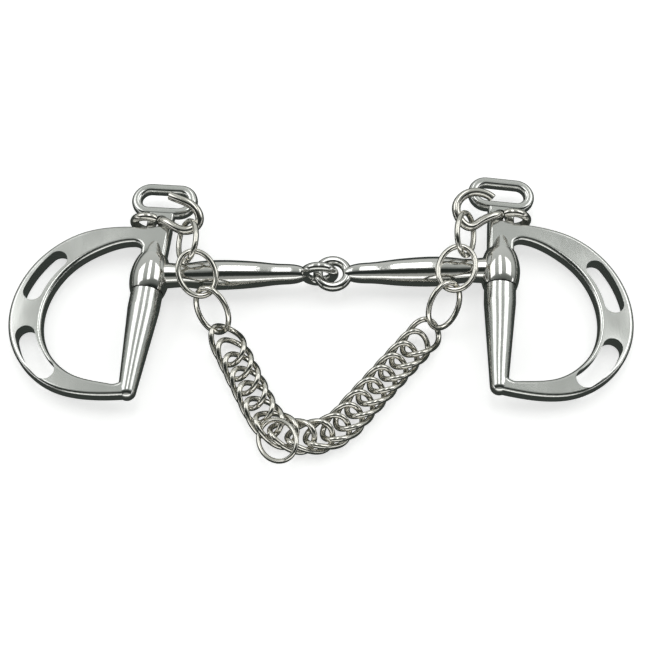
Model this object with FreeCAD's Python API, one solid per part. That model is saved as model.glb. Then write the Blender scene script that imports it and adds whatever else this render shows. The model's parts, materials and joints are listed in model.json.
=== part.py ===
import FreeCAD
import Part
import math
import os

Vec = FreeCAD.Vector

# Jointed curb bit lying flat, in millimetres. X runs along the mouthpiece, +Y towards the bridle eyes, Z up off
# the surface it lies on. Each cheek is first drawn in its own plane: u outward from the post, v up the post
# towards the eye, w across the thickness. v = 0 is the lower rim of the barrel.

# ---- running clearances
BORE_CLEAR = 0.06          # radial, spindle in barrel
RIM_CLEAR = 0.30           # axial, barrel rims to the shoulders of the post
WIRE_CLEAR = 0.30          # least gap between loose wire pieces

# ---- post and barrel
SPINDLE_R = 5.0
BARREL_H = 17.0
BARREL_TOP_R = 6.5
BARREL_MID_R = 8.6
BARREL_LOW_R = 7.4
BARREL_WIDEST = 0.42       # height of the barrel's widest ring, as a share of BARREL_H
BARREL_ROOM = 1.2          # radial space that the plate leaves round the barrel
POST_TOP_R = 6.9           # just under the barrel
POST_FOOT_R = 3.7          # at the foot of the D
POST_LENGTH = 46.9         # to the start of its round tip
POST_SHOULDER_V = -8.0     # where the post's taper begins under the barrel
POST_FLARE = 0.15          # the foot's collar, over the post's own radius
POST_STUB = 7.0            # above the barrel the post's core narrows into the plate over this height

# ---- cheek plate (the D)
PLATE_T = 6.6
PLATE_ROUND = 1.9
PLATE_TUCK = 2.6           # how far the plate runs into the post
FOOT_TUCK = 0.8            # the same at the foot, where the post is slimmest
TUCKED_EDGE = 1.1          # outer part of the tuck whose edges lie inside the post
D_WIDEST_U = 57.7
D_WIDEST_V = -12.5
OUTER_UPPER_R = 43.8
OUTER_LOWER_R = 38.6
OUTER_UPPER_DEGREES = (64, 48, 32, 16, 0)
OUTER_LOWER_DEGREES = (-18, -36, -54, -72, -90)
SHOULDER_U = 14.0          # the band leaves the neck nearly level as far as this
SHOULDER_DROP = 0.4
INNER_WIDEST_U = 42.6
INNER_WIDEST_V = -14.0
INNER_UPPER_R = 37.0
INNER_LOWER_R = 30.0
INNER_UPPER_DEGREES = (62, 42, 21, 0)
INNER_LOWER_DEGREES = (-22, -44, -66, -90)
FOOT_V = -50.6
TOP_V = 31.6
FOOT_RISE = 1.0            # the foot's underside climbs this much towards the post
FOOT_BAR = 5.2             # height of the bar along the foot
OPENING_TOP_U = 5.2
OPENING_TOP_V = 23.0
OPENING_TOP_RUN = 7.0      # level part of the opening's top edge
OPENING_FOOT_U = 1.8
CORNER_R = 4.6             # inner corners of the D opening
SLOT_W = 8.6
SLOT_UPPER = (13.0, 38.5)  # degrees round the band from its widest point
SLOT_LOWER = (-53.5, -20.5)
SLOT_WALL_SHARE = 0.5      # place of the slots across the band

# ---- neck and bridle eye
NECK_W = 11.4
NECK_T = 5.0
NECK_ROUND = 1.2
NECK_OVERLAP = 3.0         # how far the neck runs down into the D
EYE_OVERLAP = 1.0          # and up into the bridle eye
BODY_ROUND = 1.6           # edges of the block between the barrel and the neck
EYE_W = 29.5
EYE_H = 16.4
EYE_BAR = 4.5
EYE_T = 5.0
EYE_ROUND = 1.9
EYE_V = 46.2
HOOK_HOLE_R = 3.2
HOOK_HOLE_U = -0.6
HOOK_HOLE_V = 34.4

# ---- mouthpiece
LEFT_POST = Vec(-76.5, 15.6, 0)    # foot of the left barrel on the surface
RIGHT_POST = Vec(75.3, 18.4, 0)
LEFT_YAW = 7.0             # degrees that each post leans towards +X
RIGHT_YAW = 3.5
ARM_MAX_R = 6.5
ARM_NECK_R = 5.2
ARM_STATIONS = [           # distance from the barrel's axis, radius there
    (3.0, 5.6), (8.5, 5.5), (13.5, ARM_NECK_R), (21.0, 6.0), (29.0, ARM_MAX_R), (38.0, 6.25), (47.0, 5.55),
    (56.0, 4.6),
]
ARM_TIP_LEAD = 1.0         # the arm's end runs from here, ahead of its eye's ring, into the ring
ARM_TIP_RUN = 1.2
ARM_TIP_R = 3.4
ARM_END_R = 2.2
EYE_RING_R = 6.4           # centreline radius of the two linked mouth eyes
EYE_RING_WIRE = 2.1
RIGHT_RING = Vec(3.4, 25.0, 0)
LEFT_RING = Vec(-2.6, 25.0, 0)

# ---- curb hooks
HOOK_WIRE_R = 1.9
CURL_R = 6.2
CURL_U = 5.4
CURL_DEGREES = (128, 85, 40, 0, -45, -90, -130, -165)
CURL_LEAVES_W = 1.0        # across the neck, where the curl turns into the open hook

# ---- curb chain
WIRE_R = 1.2
LINK_A = 9.4               # half length of a twisted link's centreline
LINK_B = 6.4               # half width
LINK_C = 3.0               # twist height
LINK_PITCH = 7.4
LINK_COUNT = 18
CHAIN_BEND_R = 22.0        # bend of the chain where it lies on the surface
RING_A = 10.1              # half length of a plain end ring's centreline
RING_B = 7.75
FLY_A = 11.0               # fly ring, half length and half width of its centreline
FLY_B = 8.0
FLY_WIRE_R = 1.0

AXIS_Z = BARREL_MID_R + 0.1
CHAIN_Z = LINK_C + WIRE_R + 0.1
CHAIN_CORNER = Vec(-12.5, -67.7, CHAIN_Z)   # where the two legs of the chain would meet

# ---- working values for cuts and picks
CUT_OVER = 4.0             # how far a cutter runs past what it cuts
FLAT_TOL = 1e-3
OVAL_POINTS = 24           # points that each ring's centreline is drawn through
NOWHERE = -1000.0          # a place that no edge lies beyond


def line(a, b):
    return Part.makeLine(a, b)


def arc_about(cu, cv, radius, start_deg, end_deg):
    circle = Part.Circle(Vec(cu, cv, 0), Vec(0, 0, 1), radius)
    return Part.Arc(circle, math.radians(start_deg), math.radians(end_deg)).toShape()


def point_on(cu, cv, radius, deg):
    return Vec(cu + radius * math.cos(math.radians(deg)), cv + radius * math.sin(math.radians(deg)), 0)


def prism(wire, thickness):
    face = Part.Face(wire)
    face.translate(Vec(0, 0, -thickness / 2))
    return face.extrude(Vec(0, 0, thickness))


def rounded_edges(solid, radius, height, buried=NOWHERE):
    """Fillets the edges on the two flat faces at w = +-height, but for those buried in the post."""
    level = [e for e in solid.Edges if e.BoundBox.ZLength < FLAT_TOL]
    flat = [e for e in level if abs(abs(e.CenterOfMass.z) - height) < FLAT_TOL]
    return solid.makeFillet(radius, [e for e in flat if e.CenterOfMass.x > buried])


# ---- cheek
def smooth(points):
    curve = Part.BSplineCurve()
    curve.interpolate([Vec(u, v, 0) for u, v in points])
    return curve.toShape()


def cheek_outer_wire():
    """The D's outline: two arcs' worth of curve from the neck round to the foot, closed inside the post."""
    upper_u = D_WIDEST_U - OUTER_UPPER_R
    lower_u = D_WIDEST_U - OUTER_LOWER_R
    top = (-PLATE_TUCK, TOP_V)
    foot = (-FOOT_TUCK, FOOT_V + FOOT_RISE)
    rows = [top, (SHOULDER_U, TOP_V - SHOULDER_DROP)]
    for deg in OUTER_UPPER_DEGREES:
        point = point_on(upper_u, D_WIDEST_V, OUTER_UPPER_R, deg)
        rows.append((point.x, point.y))
    for deg in OUTER_LOWER_DEGREES:
        point = point_on(lower_u, D_WIDEST_V, OUTER_LOWER_R, deg)
        rows.append((point.x, point.y))
    rows.append(foot)
    return Part.Wire([smooth(rows), line(Vec(*foot, 0), Vec(*top, 0))])


def cheek_inner_wire():
    """The D's opening: a straight side along the post and one curve inside the band."""
    upper_u = INNER_WIDEST_U - INNER_UPPER_R
    lower_u = INNER_WIDEST_U - INNER_LOWER_R
    rows = [(OPENING_TOP_U, OPENING_TOP_V), (OPENING_TOP_U + OPENING_TOP_RUN, OPENING_TOP_V)]
    for deg in INNER_UPPER_DEGREES:
        point = point_on(upper_u, INNER_WIDEST_V, INNER_UPPER_R, deg)
        rows.append((point.x, point.y))
    for deg in INNER_LOWER_DEGREES:
        point = point_on(lower_u, INNER_WIDEST_V, INNER_LOWER_R, deg)
        rows.append((point.x, point.y))
    rows.append((OPENING_FOOT_U, FOOT_V + FOOT_BAR))
    first = Vec(*rows[0], 0)
    last = Vec(*rows[-1], 0)
    return Part.Wire([smooth(rows), line(last, first)])


def slot_solid(start_deg, end_deg):
    """A slot that follows the middle of the D band, with round ends."""
    lower = end_deg < 0
    outer_r = OUTER_LOWER_R if lower else OUTER_UPPER_R
    inner_r = INNER_LOWER_R if lower else INNER_UPPER_R
    cu = ((D_WIDEST_U - outer_r) + (INNER_WIDEST_U - inner_r)) / 2
    cv = (D_WIDEST_V + INNER_WIDEST_V) / 2
    mid_u = INNER_WIDEST_U + SLOT_WALL_SHARE * (D_WIDEST_U - INNER_WIDEST_U)
    radius = mid_u - cu
    half = SLOT_W / 2
    a = point_on(cu, cv, radius + half, end_deg)
    b = point_on(cu, cv, radius - half, end_deg)
    c = point_on(cu, cv, radius - half, start_deg)
    d = point_on(cu, cv, radius + half, start_deg)
    turn = half / radius
    end_tip = point_on(cu, cv, radius, end_deg + math.degrees(turn))
    start_tip = point_on(cu, cv, radius, start_deg - math.degrees(turn))
    wire = Part.Wire([
        arc_about(cu, cv, radius + half, start_deg, end_deg),
        Part.Arc(a, end_tip, b).toShape(),
        arc_about(cu, cv, radius - half, start_deg, end_deg),
        Part.Arc(c, start_tip, d).toShape(),
    ])
    return prism(wire, PLATE_T + CUT_OVER)


def post_solid():
    top = BARREL_H + RIM_CLEAR
    foot = -POST_LENGTH
    tip_r = POST_FOOT_R + POST_FLARE
    tip = Vec(0, foot - tip_r, 0)
    rows = [
        (tip_r, foot), (POST_TOP_R, POST_SHOULDER_V), (POST_TOP_R, -RIM_CLEAR), (SPINDLE_R, -RIM_CLEAR),
        (SPINDLE_R, top), (NECK_W / 2, top), (PLATE_T / 2, top + POST_STUB), (0, top + POST_STUB),
    ]
    side = [Vec(r, v, 0) for r, v in rows]
    edges = [Part.Arc(tip, point_on(0, foot, tip_r, -45), side[0]).toShape()]
    edges += [line(side[k], side[k + 1]) for k in range(len(side) - 1)]
    edges.append(line(side[-1], tip))
    profile = Part.Face(Part.Wire(edges))
    return profile.revolve(Vec(0, 0, 0), Vec(0, 1, 0), 360)


def obround(width, height, centre_v):
    half = height / 2
    run = width / 2 - half
    corners = [Vec(u, centre_v + v, 0) for u, v in ((-run, half), (run, half), (run, -half), (-run, -half))]
    right_tip = Vec(run + half, centre_v, 0)
    left_tip = Vec(-run - half, centre_v, 0)
    return Part.Wire([
        line(corners[0], corners[1]),
        Part.Arc(corners[1], right_tip, corners[2]).toShape(),
        line(corners[2], corners[3]),
        Part.Arc(corners[3], left_tip, corners[0]).toShape(),
    ])


def cheek_solid():
    opening = prism(cheek_inner_wire(), PLATE_T + CUT_OVER)
    corners = [e for e in opening.Edges if e.BoundBox.ZLength > PLATE_T]
    opening = opening.makeFillet(CORNER_R, corners)
    plate = prism(cheek_outer_wire(), PLATE_T).cut(opening)
    plate = rounded_edges(plate, PLATE_ROUND, PLATE_T / 2, buried=TUCKED_EDGE - PLATE_TUCK)
    for start, end in (SLOT_UPPER, SLOT_LOWER):
        plate = plate.cut(slot_solid(start, end))
    barrel_room = Part.makeCylinder(
        BARREL_MID_R + BARREL_ROOM, BARREL_H + 2 * RIM_CLEAR, Vec(0, -RIM_CLEAR, 0), Vec(0, 1, 0))
    plate = plate.cut(barrel_room)
    neck_low = TOP_V - NECK_OVERLAP
    neck_high = EYE_V - EYE_H / 2 + EYE_OVERLAP
    neck = Part.makeBox(NECK_W, neck_high - neck_low, NECK_T, Vec(-NECK_W / 2, neck_low, -NECK_T / 2))
    neck = neck.makeFillet(NECK_ROUND, [e for e in neck.Edges if e.BoundBox.YLength > NECK_OVERLAP])
    body_h = TOP_V - BARREL_H - RIM_CLEAR
    body = Part.makeBox(NECK_W, body_h, PLATE_T, Vec(-NECK_W / 2, BARREL_H + RIM_CLEAR, -PLATE_T / 2))
    body = body.makeFillet(BODY_ROUND, [e for e in body.Edges if e.BoundBox.YLength > NECK_OVERLAP])
    eye = prism(obround(EYE_W, EYE_H, EYE_V), EYE_T)
    eye = eye.cut(prism(obround(EYE_W - 2 * EYE_BAR, EYE_H - 2 * EYE_BAR, EYE_V), EYE_T + CUT_OVER))
    eye = rounded_edges(eye, EYE_ROUND, EYE_T / 2)
    cheek = plate.fuse([post_solid(), body, neck, eye])
    hole = Part.makeCylinder(
        HOOK_HOLE_R, NECK_T + 2 * CUT_OVER, Vec(HOOK_HOLE_U, HOOK_HOLE_V, -NECK_T / 2 - CUT_OVER))
    return cheek.cut(hole).removeSplitter()


def cheek_placement(post, yaw, side):
    """Cheek frame to the object's frame: the D drops outward until its edge rests on the surface."""
    drop = AXIS_Z - PLATE_T / 2
    roll = math.degrees(math.asin(drop / D_WIDEST_U))
    turn = FreeCAD.Placement(Vec(0, 0, 0), FreeCAD.Rotation(Vec(0, 1, 0), roll if side > 0 else 180 - roll))
    lean = FreeCAD.Placement(Vec(post.x, post.y, AXIS_Z), FreeCAD.Rotation(Vec(0, 0, 1), -yaw))
    return lean.multiply(turn)


LEFT_CHEEK = cheek_placement(LEFT_POST, LEFT_YAW, -1)
RIGHT_CHEEK = cheek_placement(RIGHT_POST, RIGHT_YAW, 1)


def moved(shape, placement):
    copy = shape.copy()
    copy.Placement = placement.multiply(copy.Placement)
    return copy


# ---- mouthpiece halves
def mouth_half_solid(placement, ring_centre, ring_normal):
    low = placement.multVec(Vec(0, 0, 0))
    up = placement.Rotation.multVec(Vec(0, 1, 0))
    centre = placement.multVec(Vec(0, BARREL_H / 2, 0))
    low_rim = Vec(BARREL_LOW_R, 0, 0)
    top_rim = Vec(BARREL_TOP_R, BARREL_H, 0)
    barrel_profile = Part.Face(Part.Wire([
        line(Vec(0, 0, 0), low_rim),
        Part.Arc(low_rim, Vec(BARREL_MID_R, BARREL_H * BARREL_WIDEST, 0), top_rim).toShape(),
        line(top_rim, Vec(0, BARREL_H, 0)),
        line(Vec(0, BARREL_H, 0), Vec(0, 0, 0)),
    ]))
    barrel = moved(barrel_profile.revolve(Vec(0, 0, 0), Vec(0, 1, 0), 360), placement)
    ring_centre = Vec(ring_centre.x, ring_centre.y, AXIS_Z)
    span = ring_centre.sub(centre)
    reach = span.Length
    along = Vec(span).normalize()
    end = reach - EYE_RING_R
    stations = ARM_STATIONS + [(end - ARM_TIP_LEAD, ARM_TIP_R), (end + ARM_TIP_RUN, ARM_END_R)]
    curve = Part.BSplineCurve()
    curve.interpolate([Vec(d, r, 0) for d, r in stations])
    first = Vec(stations[0][0], stations[0][1], 0)
    last = Vec(stations[-1][0], stations[-1][1], 0)
    profile = Part.Face(Part.Wire([
        curve.toShape(), line(last, Vec(last.x, 0, 0)), line(Vec(last.x, 0, 0), Vec(first.x, 0, 0)),
        line(Vec(first.x, 0, 0), first),
    ]))
    arm = profile.revolve(Vec(0, 0, 0), Vec(1, 0, 0), 360)
    arm = moved(arm, FreeCAD.Placement(centre, FreeCAD.Rotation(Vec(1, 0, 0), along)))
    ring = Part.makeTorus(EYE_RING_R, EYE_RING_WIRE, ring_centre, ring_normal)
    half = barrel.fuse([arm, ring])
    bore = Part.makeCylinder(SPINDLE_R + BORE_CLEAR, BARREL_H + 2 * CUT_OVER, low.sub(up * CUT_OVER), up)
    return half.cut(bore).removeSplitter()


# ---- wire pieces
def tube_along(curve, first, last, radius):
    path = Part.Wire(curve.toShape(first, last))
    start = curve.value(first)
    profile = Part.Wire(Part.Circle(start, curve.tangent(first)[0], radius).toShape())
    return path.makePipeShell([profile], True, True)


def closed_curve(points):
    curve = Part.BSplineCurve()
    curve.interpolate(Points=points, PeriodicFlag=True)
    return curve


def closed_tube(points, radius):
    """Round wire along a closed curve, swept as two halves that meet on plane ends."""
    curve = closed_curve(points)
    first = curve.FirstParameter
    last = curve.LastParameter
    middle = (first + last) / 2
    halves = [tube_along(curve, first, middle, radius), tube_along(curve, middle, last, radius)]
    return halves[0].fuse(halves[1])


def oval_points(half_length, half_width, twist):
    angles = [2 * math.pi * k / OVAL_POINTS for k in range(OVAL_POINTS)]
    return [Vec(half_length * math.cos(t), half_width * math.sin(t), twist * math.sin(2 * t)) for t in angles]


def frame_at(centre, along, roll_deg):
    """Placement whose X runs along the chain and whose Z is up, rolled about X."""
    x_axis = Vec(along).normalize()
    y_axis = Vec(0, 0, 1).cross(x_axis).normalize()
    z_axis = x_axis.cross(y_axis)
    turn = FreeCAD.Rotation(x_axis, y_axis, z_axis, "XYZ").multiply(FreeCAD.Rotation(Vec(1, 0, 0), roll_deg))
    return FreeCAD.Placement(centre, turn)


# ---- places where the rings of the chain hang on each other
LEFT_CONTACTS = [
    Vec(-60.7, 44.4, 15.0), Vec(-57.8, 28.5, 19.4), Vec(-51.3, 12.8, 14.4), Vec(-44.7, 0.4, 5.4)]
RIGHT_CONTACTS = [
    Vec(62.5, 48.3, 16.4), Vec(58.8, 31.3, 18.5), Vec(53.8, 15.0, 15.6), Vec(47.6, 1.2, 7.5)]
LEFT_ROLLS = [56, 0, 50]
RIGHT_ROLLS = [-60, 2, -48]
CHAIN_START = Vec(-43.9, -0.9, CHAIN_Z)     # ends of the twisted part of the chain
CHAIN_END = Vec(44.9, 0.2, CHAIN_Z)
FLY_CENTRE = Vec(-19.49, -52.99, 9.36)
FLY_TURNS = ((Vec(0, 0, 1), -34.0), (Vec(1, 0, 0), 26.2), (Vec(0, 1, 0), -27.4))

# the open part of each hand-bent hook: u, v and w from the neck's hole
LEFT_HOOK_POINTS = [
    Vec(-1.6, -0.6, 4.2), Vec(-5.2, -2.6, 5.9), Vec(-10.0, -5.2, 6.0), Vec(-15.2, -5.6, 6.2),
    Vec(-19.0, -2.0, 7.6), Vec(-17.4, 2.8, 9.6), Vec(-11.5, 6.2, 10.6), Vec(-5.0, 8.6, 10.4),
]
RIGHT_HOOK_POINTS = [
    Vec(-1.6, -0.8, 4.2), Vec(-5.0, -2.8, 5.6), Vec(-9.8, -6.0, 5.8), Vec(-14.9, -9.4, 6.0),
    Vec(-19.6, -6.4, 7.2), Vec(-21.0, -0.4, 8.6), Vec(-16.8, 5.0, 9.6), Vec(-10.8, 6.2, 9.8),
    Vec(-5.4, 4.2, 9.4),
]


def chain_path():
    """Two straight legs from the end rings, joined by one bend: pairs of a point and a direction along it."""
    start = CHAIN_START
    end = CHAIN_END
    down = Vec(CHAIN_CORNER).sub(start)
    rise = end.sub(CHAIN_CORNER)
    turn = down.getAngle(rise)
    cut_back = CHAIN_BEND_R * math.tan(turn / 2)
    down_dir = Vec(down).normalize()
    rise_dir = Vec(rise).normalize()
    leg_in = down.Length - cut_back
    bend = CHAIN_BEND_R * turn
    leg_out = rise.Length - cut_back
    bend_start = start.add(down_dir * leg_in)
    bend_end = CHAIN_CORNER.add(rise_dir * cut_back)
    centre = bend_start.add(Vec(-down_dir.y, down_dir.x, 0) * CHAIN_BEND_R)

    def at(distance):
        if distance <= leg_in:
            return start.add(down_dir * distance), down_dir
        if distance >= leg_in + bend:
            return bend_end.add(rise_dir * (distance - leg_in - bend)), rise_dir
        angle = math.degrees((distance - leg_in) / CHAIN_BEND_R)
        spin = FreeCAD.Rotation(Vec(0, 0, 1), angle)
        return centre.add(spin.multVec(bend_start.sub(centre))), spin.multVec(down_dir)

    return at, leg_in + bend + leg_out


def link_stations():
    """Centre and direction of every twisted link, at one pitch along the chain's line."""
    at, length = chain_path()
    lead = LINK_A - 2 * WIRE_R - WIRE_CLEAR
    spare = length - 2 * lead - (LINK_COUNT - 1) * LINK_PITCH
    return [at(lead + spare / 2 + k * LINK_PITCH) for k in range(LINK_COUNT)]


def fly_placement():
    turn = FreeCAD.Rotation()
    for axis, degrees in FLY_TURNS:
        turn = turn.multiply(FreeCAD.Rotation(axis, degrees))
    return FreeCAD.Placement(FLY_CENTRE, turn)


def ring_rows(contacts, rolls):
    rows = []
    for k in range(len(rolls)):
        middle = (contacts[k] + contacts[k + 1]) * 0.5
        rows.append(frame_at(middle, contacts[k + 1].sub(contacts[k]), rolls[k]))
    return rows


def hook_solid(placement, side, points):
    """Closed curl through the neck's hole, then the open hook that carries the chain."""
    local = []
    for deg in CURL_DEGREES:
        angle = math.radians(deg)
        local.append(Vec(CURL_U + CURL_R * math.cos(angle), HOOK_HOLE_V, side * CURL_R * math.sin(angle)))
    local.append(Vec(CURL_U - CURL_R, HOOK_HOLE_V, side * CURL_LEAVES_W))
    for point in points:
        local.append(Vec(point.x, HOOK_HOLE_V + point.y, side * point.z))
    curve = Part.BSplineCurve()
    curve.interpolate(local)
    solid = tube_along(curve, curve.FirstParameter, curve.LastParameter, HOOK_WIRE_R)
    return moved(solid, placement)


def origin_offset(nodes):
    """Move that puts the origin under the middle of the object, on the surface it lies on."""
    boxes = [shape.optimalBoundingBox() for shape in nodes.values()]
    middle_x = (min(b.XMin for b in boxes) + max(b.XMax for b in boxes)) / 2
    middle_y = (min(b.YMin for b in boxes) + max(b.YMax for b in boxes)) / 2
    return Vec(-middle_x, -middle_y, -min(b.ZMin for b in boxes))


def build():
    nodes = {}
    cheek = cheek_solid()
    nodes["left_cheek"] = moved(cheek, LEFT_CHEEK)
    nodes["right_cheek"] = moved(cheek, RIGHT_CHEEK)
    nodes["left_mouth_half"] = mouth_half_solid(LEFT_CHEEK, LEFT_RING, Vec(0, 1, 0))
    nodes["right_mouth_half"] = mouth_half_solid(RIGHT_CHEEK, RIGHT_RING, Vec(0, 0, 1))
    nodes["left_curb_hook"] = hook_solid(LEFT_CHEEK, -1, LEFT_HOOK_POINTS)
    nodes["right_curb_hook"] = hook_solid(RIGHT_CHEEK, 1, RIGHT_HOOK_POINTS)
    ring = closed_tube(oval_points(RING_A, RING_B, 0), WIRE_R)
    for side, contacts, rolls in (("left", LEFT_CONTACTS, LEFT_ROLLS), ("right", RIGHT_CONTACTS, RIGHT_ROLLS)):
        for number, place in enumerate(ring_rows(contacts, rolls), 1):
            nodes[f"{side}_end_ring_{number}"] = moved(ring, place)
    link = closed_tube(oval_points(LINK_A, LINK_B, LINK_C), WIRE_R)
    for number, (centre, along) in enumerate(link_stations(), 1):
        nodes[f"curb_link_{number:02d}"] = moved(link, frame_at(centre, along, 0))
    nodes["fly_ring"] = moved(closed_tube(oval_points(FLY_A, FLY_B, 0), FLY_WIRE_R), fly_placement())
    return nodes


def main():
    os.makedirs("parts", exist_ok=True)
    nodes = build()
    offset = origin_offset(nodes)
    for name, shape in nodes.items():
        shape.translate(offset)
        shape.exportStep(f"parts/{name}.step")
    print("origin moved by", offset)


if __name__ == "__main__":
    main()
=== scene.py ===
import json
import math

import bpy
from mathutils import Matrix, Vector

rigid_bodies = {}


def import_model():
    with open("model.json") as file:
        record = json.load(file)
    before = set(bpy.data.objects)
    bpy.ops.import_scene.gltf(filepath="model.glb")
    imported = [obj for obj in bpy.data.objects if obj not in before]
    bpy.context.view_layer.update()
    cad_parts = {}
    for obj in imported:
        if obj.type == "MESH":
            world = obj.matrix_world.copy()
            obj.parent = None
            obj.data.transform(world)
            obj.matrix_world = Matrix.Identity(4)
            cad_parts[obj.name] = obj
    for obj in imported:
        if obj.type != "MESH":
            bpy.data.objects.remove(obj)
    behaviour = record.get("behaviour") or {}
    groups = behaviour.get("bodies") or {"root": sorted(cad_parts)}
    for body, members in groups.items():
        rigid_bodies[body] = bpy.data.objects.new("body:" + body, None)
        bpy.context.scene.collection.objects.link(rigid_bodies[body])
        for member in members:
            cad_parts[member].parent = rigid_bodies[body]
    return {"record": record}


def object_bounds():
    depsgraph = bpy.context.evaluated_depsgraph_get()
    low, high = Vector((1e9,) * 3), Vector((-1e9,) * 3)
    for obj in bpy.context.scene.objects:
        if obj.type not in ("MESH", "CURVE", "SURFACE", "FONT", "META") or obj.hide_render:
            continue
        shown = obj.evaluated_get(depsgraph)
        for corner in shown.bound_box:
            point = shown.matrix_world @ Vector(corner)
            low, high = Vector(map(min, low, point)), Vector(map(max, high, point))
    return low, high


# A jointed curb bit lying flat, in metres. X runs along the mouthpiece, +Y towards the bridle eyes, Z up.
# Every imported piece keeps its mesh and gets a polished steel. The rest is the floor, studio and camera.

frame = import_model()
CAD_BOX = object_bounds()

# ---- camera: looks down on the bit from its near side
ELEVATION = 63.0               # degrees above the surface
DISTANCE = 0.640
FOCAL_LENGTH = 83.5            # mm on a 36 mm sensor
AIM_ASIDE = 0.0017             # to the right of the middle of the object's box
AIM_NEARER = 0.0048            # and nearer to the camera
AIM_HEIGHT = 0.0089            # above the surface

# ---- floor
FLOOR_SIZE = 12.0
FLOOR_DROP = 0.0002            # below the surface that the bit lies on
FLOOR_WHITE = (0.9, 0.9, 0.9, 1.0)
FLOOR_ROUGHNESS = 0.9
FLOOR_GLOW = 0.62              # keeps the floor white in the soft shadows

# ---- lamps: sizes are across and along, radiance is how bright the lamp looks from in front
BIT = (0.0, 0.0, 0.0)
BOX_HEIGHT = 1.0
BOX_BEYOND = 0.62              # the soft boxes hang this far past the bit
OVERHEAD_SIZE = (0.26, 1.08)
OVERHEAD_RADIANCE = 1.7
SIDE_BOX_OUT = 1.15
SIDE_BOX_SIZE = (1.1, 1.0)
SIDE_BOX_RADIANCE = 1.3
FRONT_CARD_PLACE = (0.0, -1.3, 0.45)
FRONT_CARD_SIZE = (2.4, 0.36)
FRONT_CARD_RADIANCE = 1.1
SIDE_CARD_OUT = 1.2
SIDE_CARD_NEARER = 0.35
SIDE_CARD_HEIGHT = 0.30
SIDE_CARD_SIZE = (0.9, 0.22)
SIDE_CARD_RADIANCE = 1.2

# ---- what the steel mirrors: the room from the near side (0) to the far side (1), and below the table
ROOM_NEAR_TO_FAR = [
    (0.00, (0.42, 0.43, 0.40)), (0.14, (0.36, 0.37, 0.35)), (0.22, (0.030, 0.036, 0.032)),
    (0.41, (0.022, 0.027, 0.024)), (0.48, (0.16, 0.17, 0.16)), (0.62, (0.42, 0.44, 0.42)),
    (0.78, (0.50, 0.52, 0.50)), (1.00, (0.60, 0.62, 0.60)),
]
ROOM_BELOW = (0.045, 0.052, 0.047, 1)
HORIZON = (-0.10, 0.12)        # direction heights between which the room takes over from what lies below

# ---- steel: the marks that every finish shares; scales are cycles per metre, depths in metres
CLOUDS = {"Scale": 55.0, "Detail": 4.0, "Roughness": 0.6}
SWELL = {"Scale": 38.0, "Detail": 1.0, "Roughness": 0.3}
BUFFING = {"Detail": 6.0, "Roughness": 0.7}
BUFFING_STRETCH = (1.0, 0.22, 1.0)
BUFFING_STRENGTH = 0.04
BUFFING_DEPTH = 0.0002


def node(tree, kind, **inputs):
    made = tree.nodes.new(kind)
    for name, value in inputs.items():
        made.inputs[name].default_value = value
    return made


def mix_colours(tree, first, factor):
    """Mix node that starts from the colour first; its second colour is left to the caller."""
    made = tree.nodes.new("ShaderNodeMix")
    made.data_type = "RGBA"
    made.inputs["A"].default_value = first
    tree.links.new(factor, made.inputs["Factor"])
    return made


def polished_steel(name, light, shade, roughness, grain, wave):
    """Polished stainless steel: a cloudy tone, fine buffing marks and the slow swells of hand polishing."""
    material = bpy.data.materials.new(name)
    material.use_nodes = True
    tree = material.node_tree
    link = tree.links.new
    shader = tree.nodes["Principled BSDF"]
    shader.inputs["Metallic"].default_value = 1.0
    where = node(tree, "ShaderNodeTexCoord")

    clouds = node(tree, "ShaderNodeTexNoise", **CLOUDS)
    link(where.outputs["Object"], clouds.inputs["Vector"])
    tone = mix_colours(tree, light, clouds.outputs["Fac"])
    tone.inputs["B"].default_value = shade
    link(tone.outputs["Result"], shader.inputs["Base Color"])

    stretch = node(tree, "ShaderNodeMapping", Scale=BUFFING_STRETCH)
    link(where.outputs["Object"], stretch.inputs["Vector"])
    buffing = node(tree, "ShaderNodeTexNoise", Scale=grain, **BUFFING)
    link(stretch.outputs["Vector"], buffing.inputs["Vector"])
    gloss = node(tree, "ShaderNodeMapRange")
    gloss.inputs["To Min"].default_value, gloss.inputs["To Max"].default_value = roughness
    link(buffing.outputs["Fac"], gloss.inputs["Value"])
    link(gloss.outputs["Result"], shader.inputs["Roughness"])

    swell = node(tree, "ShaderNodeTexNoise", **SWELL)
    link(where.outputs["Object"], swell.inputs["Vector"])
    hand_polish = node(tree, "ShaderNodeBump", Strength=1.0, Distance=wave)
    link(swell.outputs["Fac"], hand_polish.inputs["Height"])
    fine_marks = node(tree, "ShaderNodeBump", Strength=BUFFING_STRENGTH, Distance=BUFFING_DEPTH)
    link(buffing.outputs["Fac"], fine_marks.inputs["Height"])
    link(hand_polish.outputs["Normal"], fine_marks.inputs["Normal"])
    link(fine_marks.outputs["Normal"], shader.inputs["Normal"])
    return material


STEEL = {
    "cheek_steel": polished_steel(
        "cheek steel", light=(0.80, 0.80, 0.78, 1), shade=(0.68, 0.69, 0.67, 1),
        roughness=(0.10, 0.24), grain=700.0, wave=0.0011),
    "mouthpiece_steel": polished_steel(
        "mouthpiece steel", light=(0.82, 0.81, 0.79, 1), shade=(0.70, 0.70, 0.68, 1),
        roughness=(0.05, 0.13), grain=700.0, wave=0.0003),
    # hook and chain steel are tinted warm: a painted warm reflection, the warm tint of their highlights put
    # into the steel's colour
    "hook_steel": polished_steel(
        "hook steel painted warm reflection", light=(0.84, 0.82, 0.77, 1), shade=(0.68, 0.66, 0.61, 1),
        roughness=(0.08, 0.20), grain=900.0, wave=0.0001),
    "chain_steel": polished_steel(
        "chain steel painted warm reflection", light=(0.88, 0.86, 0.81, 1), shade=(0.72, 0.70, 0.64, 1),
        roughness=(0.06, 0.17), grain=900.0, wave=0.0001),
}


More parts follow.
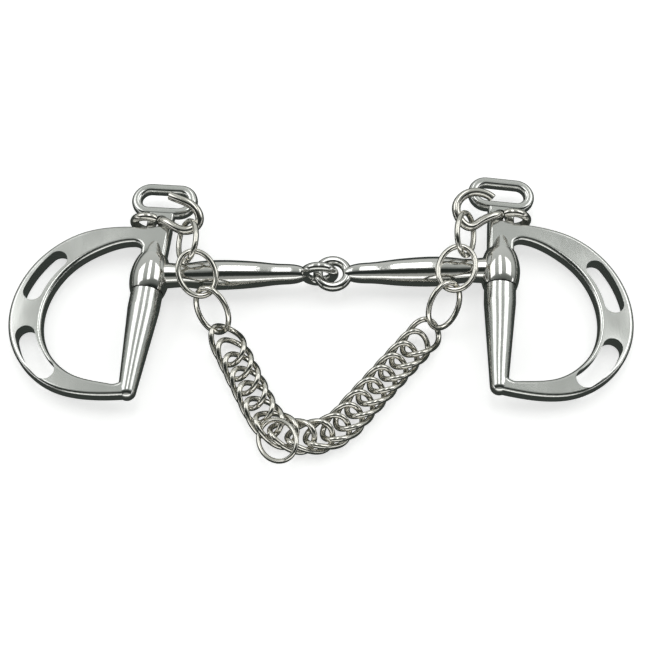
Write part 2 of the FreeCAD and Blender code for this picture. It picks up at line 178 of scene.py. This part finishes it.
def finish_cad_nodes():
    """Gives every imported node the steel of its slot."""
    for part in frame["record"]["subparts"]:
        piece = bpy.data.objects[part["node"]]
        piece.data.materials.clear()
        piece.data.materials.append(STEEL[part["material_slot"]])


def make_floor():
    """Plain white ground that the steel doesn't mirror, so its undersides stay dark."""
    bpy.ops.mesh.primitive_plane_add(size=FLOOR_SIZE, location=(0, 0, -FLOOR_DROP))
    floor = bpy.context.object
    floor.name = "floor"
    material = bpy.data.materials.new("pale floor")
    material.use_nodes = True
    shader = material.node_tree.nodes["Principled BSDF"]
    shader.inputs["Base Color"].default_value = FLOOR_WHITE
    shader.inputs["Roughness"].default_value = FLOOR_ROUGHNESS
    shader.inputs["Specular IOR Level"].default_value = 0.0
    shader.inputs["Emission Color"].default_value = (1, 1, 1, 1)
    shader.inputs["Emission Strength"].default_value = FLOOR_GLOW
    floor.data.materials.append(material)
    floor.visible_glossy = False


def softbox(name, place, aim, size, radiance):
    """Area light that looks equally bright from everywhere in front of it."""
    data = bpy.data.lights.new(name, "AREA")
    data.shape = "RECTANGLE"
    data.size, data.size_y = size
    data.energy = radiance * math.pi * size[0] * size[1]
    lamp = bpy.data.objects.new(name, data)
    bpy.context.collection.objects.link(lamp)
    lamp.location = place
    lamp.rotation_euler = (Vector(aim) - Vector(place)).to_track_quat("-Z", "Y").to_euler()


def hanging_softbox(name, aside, size, radiance):
    """Soft box that hangs level past the bit and faces straight down."""
    softbox(name, (aside, BOX_BEYOND, BOX_HEIGHT), (aside, BOX_BEYOND, 0), size, radiance)


def make_lamps():
    """Soft boxes overhead and at both sides, with low cards in front and at the sides."""
    sides = (("left", -1), ("right", 1))
    hanging_softbox("overhead softbox", 0.0, OVERHEAD_SIZE, OVERHEAD_RADIANCE)
    for side, sign in sides:
        hanging_softbox(f"{side} softbox", sign * SIDE_BOX_OUT, SIDE_BOX_SIZE, SIDE_BOX_RADIANCE)
    softbox("front card", FRONT_CARD_PLACE, BIT, FRONT_CARD_SIZE, FRONT_CARD_RADIANCE)
    for side, sign in sides:
        place = (sign * SIDE_CARD_OUT, -SIDE_CARD_NEARER, SIDE_CARD_HEIGHT)
        softbox(f"{side} card", place, BIT, SIDE_CARD_SIZE, SIDE_CARD_RADIANCE)


def colour_ramp(tree, source, stops):
    made = tree.nodes.new("ShaderNodeValToRGB")
    made.color_ramp.interpolation = "EASE"
    elements = made.color_ramp.elements
    while len(elements) < len(stops):
        elements.new(0.5)
    for element, (place, colour) in zip(elements, stops):
        element.position = place
        element.color = (*colour, 1)
    tree.links.new(source, made.inputs["Fac"])
    return made.outputs["Color"]


def make_room():
    """Room that the steel mirrors: pale low down on the near side, dark above that, pale again on the far
    side, and dark below the table."""
    world = bpy.data.worlds.new("studio")
    bpy.context.scene.world = world
    world.use_nodes = True
    tree = world.node_tree
    where = tree.nodes.new("ShaderNodeTexCoord")
    direction = tree.nodes.new("ShaderNodeSeparateXYZ")
    tree.links.new(where.outputs["Generated"], direction.inputs["Vector"])
    near_to_far = tree.nodes.new("ShaderNodeMapRange")
    near_to_far.inputs["From Min"].default_value = -1.0
    tree.links.new(direction.outputs["Y"], near_to_far.inputs["Value"])
    room = colour_ramp(tree, near_to_far.outputs["Result"], ROOM_NEAR_TO_FAR)
    height = tree.nodes.new("ShaderNodeMapRange")
    height.inputs["From Min"].default_value, height.inputs["From Max"].default_value = HORIZON
    tree.links.new(direction.outputs["Z"], height.inputs["Value"])
    seen = mix_colours(tree, ROOM_BELOW, height.outputs["Result"])
    tree.links.new(room, seen.inputs["B"])
    tree.links.new(seen.outputs["Result"], tree.nodes["Background"].inputs["Color"])


def make_camera():
    low, high = CAD_BOX
    middle = [(low[axis] + high[axis]) / 2 for axis in range(2)]
    aim = Vector((middle[0] + AIM_ASIDE, middle[1] - AIM_NEARER, AIM_HEIGHT))
    angle = math.radians(ELEVATION)
    data = bpy.data.cameras.new("camera")
    data.lens = FOCAL_LENGTH
    camera = bpy.data.objects.new("camera", data)
    bpy.context.collection.objects.link(camera)
    camera.location = aim + DISTANCE * Vector((0, -math.cos(angle), math.sin(angle)))
    camera.rotation_euler = (math.pi / 2 - angle, 0, 0)
    bpy.context.scene.camera = camera


finish_cad_nodes()
make_floor()
make_lamps()
make_room()
make_camera()
bpy.context.scene.view_settings.view_transform = "Standard"
